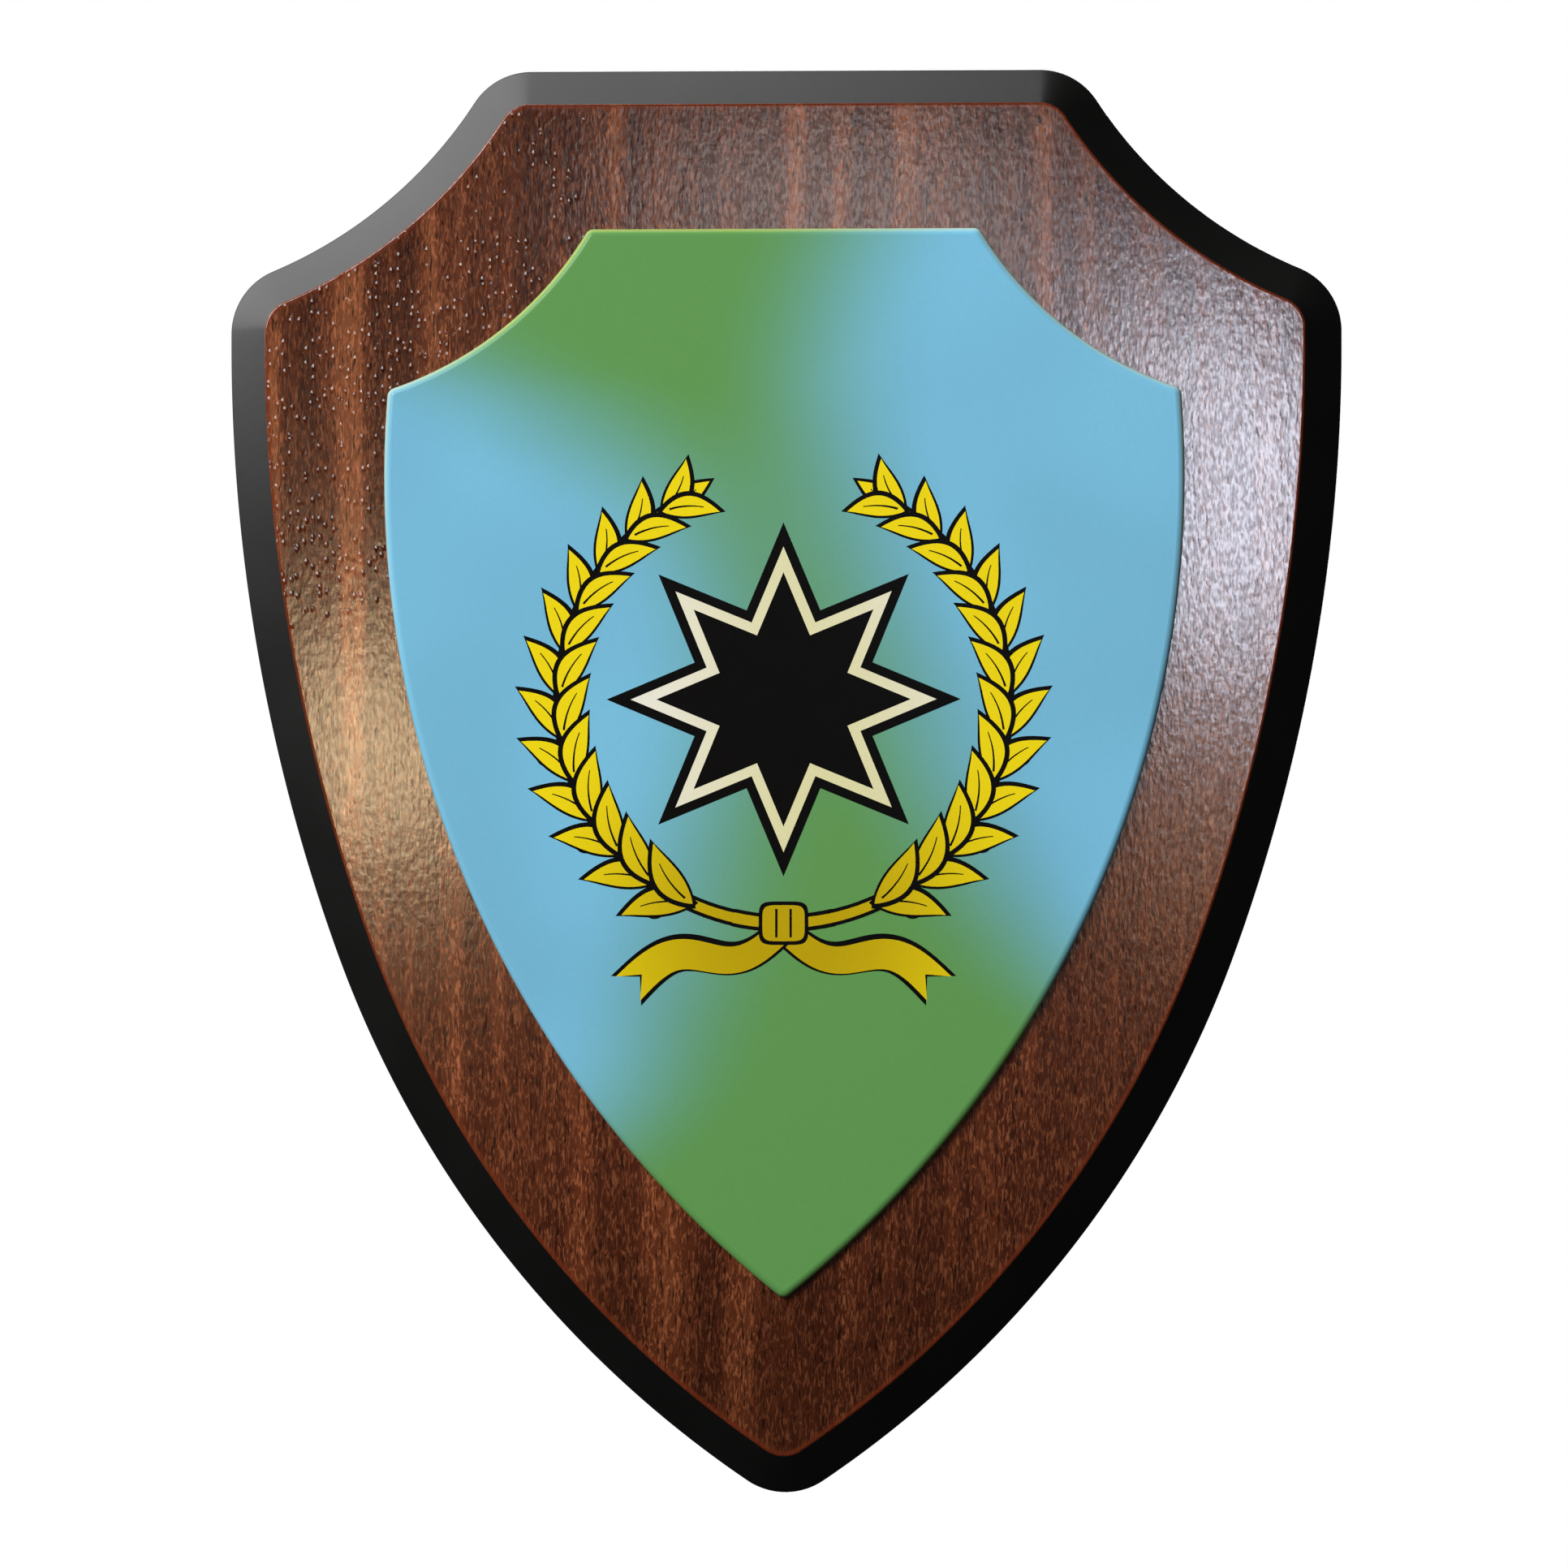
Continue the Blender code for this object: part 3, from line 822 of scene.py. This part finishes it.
def inkMaterial(name, colourOf):
    # A printed colour: base colour with the film's slight mottle, and a low satin relief.
    material, tree, coords = startMaterial(name)
    grain = addNode(tree, "TexNoise", {"Vector": coords, "Scale": 2000.0, "Detail": 1.0})
    value = addNode(tree, "MapRange", {"Value": grain, "To Min": 0.97, "To Max": 1.03})
    mottled = addNode(tree, "HueSaturation", {"Color": colourOf(tree, coords), "Value": value})
    wave = addNode(tree, "TexNoise", {"Vector": coords, "Scale": 120.0, "Detail": 1.0})
    bump = addNode(tree, "Bump", {"Height": wave, "Strength": 0.05, "Distance": 0.0005})
    return finishMaterial(
        material, tree, Base_Color=mottled, Roughness=0.33, Normal=bump, Specular_IOR_Level=0.05)


def printedRim():
    # The rounded rim takes the dye of the field, with a pale yellow painted highlight mixed in towards the
    # outside, most of all round the plate's top.
    material, tree, coords = startMaterial("rim_ink")
    edge = addNode(tree, "Attribute", attribute_name="fromEdge").outputs["Fac"]
    z = addNode(tree, "SeparateXYZ", {0: coords}).outputs["Z"]
    highlightByHeight = addNode(tree, "MapRange", {
        "Value": z, "From Min": (plateTop - 75) * mm, "From Max": (plateTop - 30) * mm, "To Min": 0.02,
        "To Max": 0.34,
    })
    # The share of the pale yellow painted highlight: most at the outer edge, and round the top.
    bare = addNode(tree, "MapRange", {
        "Value": edge, "From Min": 0.75, "From Max": 0.15, "To Max": highlightByHeight,
    })
    colour = addNode(tree, "Mix", {
        "Factor": bare, 6: fieldInk(tree, coords), 7: linear(printed["paintedRimHighlight"]),
    }, data_type="RGBA").outputs[2]
    wear = addNode(tree, "TexNoise", {"Vector": coords, "Scale": 700.0, "Detail": 2.0})
    roughness = addNode(tree, "MapRange", {"Value": wear, "To Min": 0.18, "To Max": 0.26})
    return finishMaterial(
        material, tree, Base_Color=colour, Roughness=roughness, Specular_IOR_Level=0.17)


def shearedAluminium():
    # The plate's cut side and its back: bare aluminium with fine rolling lines, drawn 0.5 mm apart.
    material, tree, coords = startMaterial("sheared_aluminium")
    stretched = addNode(tree, "Mapping", {"Vector": coords, "Scale": (2000.0, 2000.0, 40.0)})
    lines = addNode(tree, "TexNoise", {"Vector": stretched, "Scale": 1.0})
    roughness = addNode(tree, "MapRange", {"Value": lines, "To Min": 0.28, "To Max": 0.42})
    colour = ramp(addNode(tree, "ValToRGB", {"Fac": lines}), [(0.3, "#D6D8DA"), (0.7, "#E2E3E4")])
    return finishMaterial(material, tree, Base_Color=colour, Roughness=roughness, Metallic=1.0)


# Camera and light

photo = dict(
    frameWidth=253.5,  # mm across the whole picture, at the depth of the board's widest outline
    aimDrop=115.75, aimAside=-0.2,  # the picture's middle: below the board's top edge, and in x
    distance=1.35, right=2.0, below=2.0,  # metres, and degrees off the plaque's own axis
)
softboxes = [
    # name, place and aim in metres, width, height, radiance, colour
    ("keySoftbox", (-0.96, 0.09, 0.99), (0, -0.01, -0.03), 1.25, 2.46, 3.7, "#FFFFFF"),
    ("frontLeft", (-0.95, -1.60, 0.75), (0, 0, -0.07), 1.0, 1.0, 12.7, "#FFFFFF"),
    ("backFill", (0.3, 2.2, 0.5), (0, 0, -0.07), 1.2, 1.2, 8.0, "#FFFFFF"),
]
glares = [
    # name, the middle of the patch of face that mirrors it (x, z), the patch's width and height in mm,
    # radiance and colour
    ("coolWindow", 74, -32, 26, 50, 46.0, "#E9EDFF"),
    ("coolShoulder", 60, -4, 36, 16, 16.5, "#F1F0FF"),
    ("topGlow", 8, 17, 62, 18, 11.5, "#FFF4F2"),
    ("rightGlow", 70, -82, 20, 42, 8.2, "#FFC090"),
    ("warmLamp", -66, -70, 26, 30, 37.0, "#FFE2B2"),
    ("leftGlow", -72, -20, 30, 50, 0.6, "#FFEBD6"),
]
studio = dict(
    ambient=0.03, background=1.0,  # the world's brightness as a light, and as the camera sees it
    floorDrop=0.45, floorSide=5.0, floorFront=7.0, floorBehind=1.5,  # metres from the origin
    floorDark="#4C4B49", floorPale="#504F4D", floorGlow="#FFFEFB", glowStrength=0.82,
)


def addLight(name, place, aim, width, height, radiance, colour):
    # A soft rectangle: a power of radiance times pi times its area gives it that radiance.
    lamp = bpy.data.lights.new(name, "AREA")
    lamp.shape = "RECTANGLE"
    lamp.size, lamp.size_y = width, height
    lamp.energy = radiance * math.pi * width * height
    lamp.color = linear(colour)[:3]
    holder = bpy.data.objects.new(name, lamp)
    holder.location = place
    holder.rotation_euler = (Vector(aim) - Vector(place)).to_track_quat("-Z", "Y").to_euler()
    holder.visible_camera = False
    bpy.context.scene.collection.objects.link(holder)


def addCamera():
    # On the photo's line of sight. The lens is 36 mm times the distance over the width that it takes in.
    depth = boardFront + board["bevel"]
    aim = Vector((photo["aimAside"] * mm, depth * mm, (boardTop - photo["aimDrop"]) * mm))
    right, below = math.radians(photo["right"]), math.radians(photo["below"])
    way = Vector((math.sin(right), -math.cos(right) * math.cos(below), -math.sin(below))).normalized()
    data = bpy.data.cameras.new("camera")
    data.sensor_width = 36.0
    data.lens = 36.0 * photo["distance"] / (photo["frameWidth"] * mm)
    camera = bpy.data.objects.new("camera", data)
    camera.location = aim + way * photo["distance"]
    camera.rotation_euler = (-way).to_track_quat("-Z", "Y").to_euler()
    bpy.context.scene.collection.objects.link(camera)
    bpy.context.scene.camera = camera
    return camera.location.copy()


def addGlare(eye, name, x, z, width, height, radiance, colour):
    # A light as far from the face as the eye is: the face mirrors it at (x, z) when it is at 2 p - eye, and
    # it shows at half its size.
    patch = Vector((x * mm, boardFront * mm, z * mm))
    place = Vector((2 * patch.x - eye.x, eye.y, 2 * patch.z - eye.z))
    addLight(name, place, patch, 2 * width * mm, 2 * height * mm, radiance, colour)


def addFloor():
    # A pale floor below the plaque that glows a little, so that it stays pale far from the softboxes.
    side, drop = studio["floorSide"], studio["floorDrop"]
    front, behind = -studio["floorFront"], studio["floorBehind"]
    mesh = bpy.data.meshes.new("floor")
    corners = [(-side, front, -drop), (side, front, -drop), (side, behind, -drop), (-side, behind, -drop)]
    mesh.from_pydata(corners, [], [(0, 1, 2, 3)])
    material, tree, coords = startMaterial("pale_floor")
    speckle = addNode(tree, "TexNoise", {"Vector": coords, "Scale": 40.0, "Detail": 2.0})
    colour = ramp(addNode(tree, "ValToRGB", {"Fac": speckle}),
                  [(0.3, studio["floorDark"]), (0.7, studio["floorPale"])])
    mesh.materials.append(finishMaterial(
        material, tree, Base_Color=colour, Roughness=0.8, Emission_Color=linear(studio["floorGlow"]),
        Emission_Strength=studio["glowStrength"]))
    floor = bpy.data.objects.new("floor", mesh)
    bpy.context.scene.collection.objects.link(floor)
    floor.visible_glossy = floor.visible_diffuse = False


def addWorld():
    # Dim light from all round, and white behind the plaque where the camera sees past it.
    world = bpy.data.worlds.new("studio")
    bpy.context.scene.world = world
    world.use_nodes = True
    tree = world.node_tree
    tree.nodes.clear()
    seen = addNode(tree, "LightPath").outputs["Is Camera Ray"]
    strength = addNode(tree, "MapRange", {
        "Value": seen, "To Min": studio["ambient"], "To Max": studio["background"],
    })
    light = addNode(tree, "Background", {"Color": (1, 1, 1, 1), "Strength": strength})
    addNode(tree, "OutputWorld", {"Surface": light})
    bpy.context.scene.view_settings.view_transform = "Standard"


boardPiece = makeBoard([varnishedMahogany(), blackLacquer(), plainBack(), routedWood()])
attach(boardPiece, "root")
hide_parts("shield_board")

platePiece = makePlate([
    inkMaterial("field_ink", fieldInk),
    inkMaterial("black_ink", blackInk),
    inkMaterial("cream_ink", creamInk),
    inkMaterial("gold_ink", goldInk),
    printedRim(),
    shearedAluminium(),
])
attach(platePiece, "root")
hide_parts("printed_plate")

addFloor()
addWorld()
for softbox in softboxes:
    addLight(*softbox)
eye = addCamera()
for glare in glares:
    addGlare(eye, *glare)
print("studio, lights and camera are in place")
